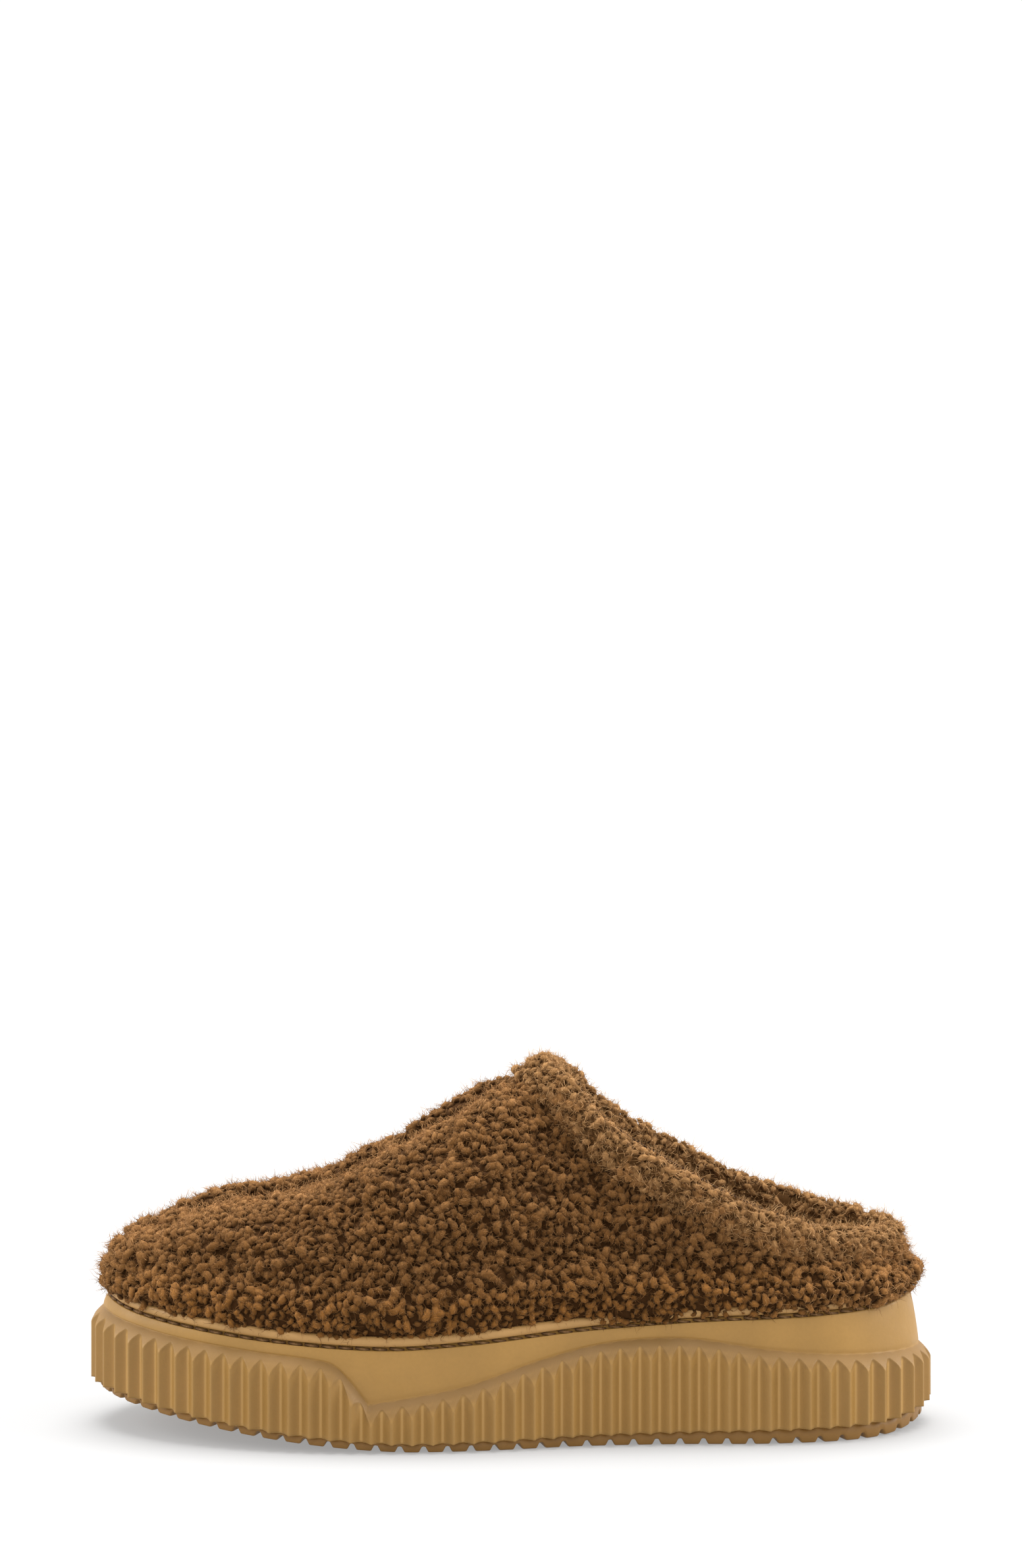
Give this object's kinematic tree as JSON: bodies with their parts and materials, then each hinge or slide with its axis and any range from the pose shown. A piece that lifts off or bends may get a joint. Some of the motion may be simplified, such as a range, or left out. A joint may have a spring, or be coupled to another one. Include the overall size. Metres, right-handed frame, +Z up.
{
  "type": "fluffy house slipper",
  "caption": "Left clog-style house slipper with a curly brown fleece upper, a rolled open collar and a ribbed tan rubber cupsole.",
  "frame": {"origin": "on the ground under the middle of the slipper", "axes": "+X towards the heel, so the toe is at -X; +Y to the inner (medial) side of a left foot; +Z up"},
  "size_m": [0.2722, 0.1043, 0.117],
  "materials": {
    "rib_rubber": "satin moulded rubber, fine grain",
    "lip_rubber": "satin rubber, slightly lighter",
    "tread_rubber": "matt darker rubber",
    "fleece": "curly teddy fleece",
    "lining": "brushed dark brown cloth",
    "foam": "pale foam, hidden",
    "fibreboard": "pressed fibreboard, hidden",
    "stiffener": "thin stiffening sheet, hidden",
    "thread": "waxed dark brown thread"
  },
  "bodies": {
    "root": {"outsole_tread": "tread_rubber", "ribbed_cupsole": "rib_rubber", "rand_lip": "lip_rubber", "sidewall_stitch": "thread", "midsole_core": "foam", "insole_board": "fibreboard", "footbed_foam": "foam", "footbed_cover": "lining", "lateral_quarter": "fleece", "medial_quarter": "fleece", "lateral_lining": "lining", "medial_lining": "lining", "toe_puff": "stiffener", "heel_counter": "stiffener", "front_seam_tape": "lining", "front_seam_thread": "thread", "back_seam_thread": "thread", "collar_roll": "fleece", "collar_thread": "thread"}
  },
  "joints": []
}
